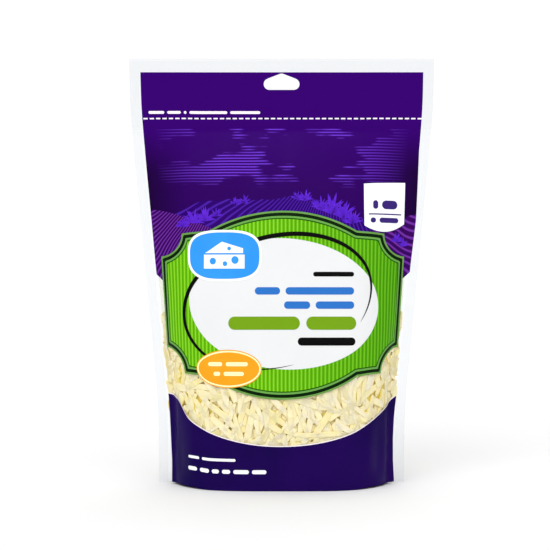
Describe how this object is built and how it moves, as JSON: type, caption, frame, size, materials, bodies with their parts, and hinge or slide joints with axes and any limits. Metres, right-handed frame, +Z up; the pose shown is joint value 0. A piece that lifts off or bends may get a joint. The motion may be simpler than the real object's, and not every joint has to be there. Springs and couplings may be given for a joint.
{
  "type": "stand-up pouch of shredded mozzarella",
  "caption": "Sealed stand-up pouch full of shredded mozzarella, with flat side welds, a hang hole in the header and a flat foot.",
  "frame": {"origin": "on the floor, under the middle of the foot", "axes": "+Z up through the header, -Y out of the printed front, +X to the right of someone who faces the front"},
  "size_m": [0.1912, 0.06, 0.2695],
  "materials": {
    "printed_film": "glossy printed film",
    "clear_film": "clear glossy film",
    "cheese": "moist satin shreds"
  },
  "bodies": {
    "root": {"cheese_pouch": "printed_film"}
  },
  "joints": []
}
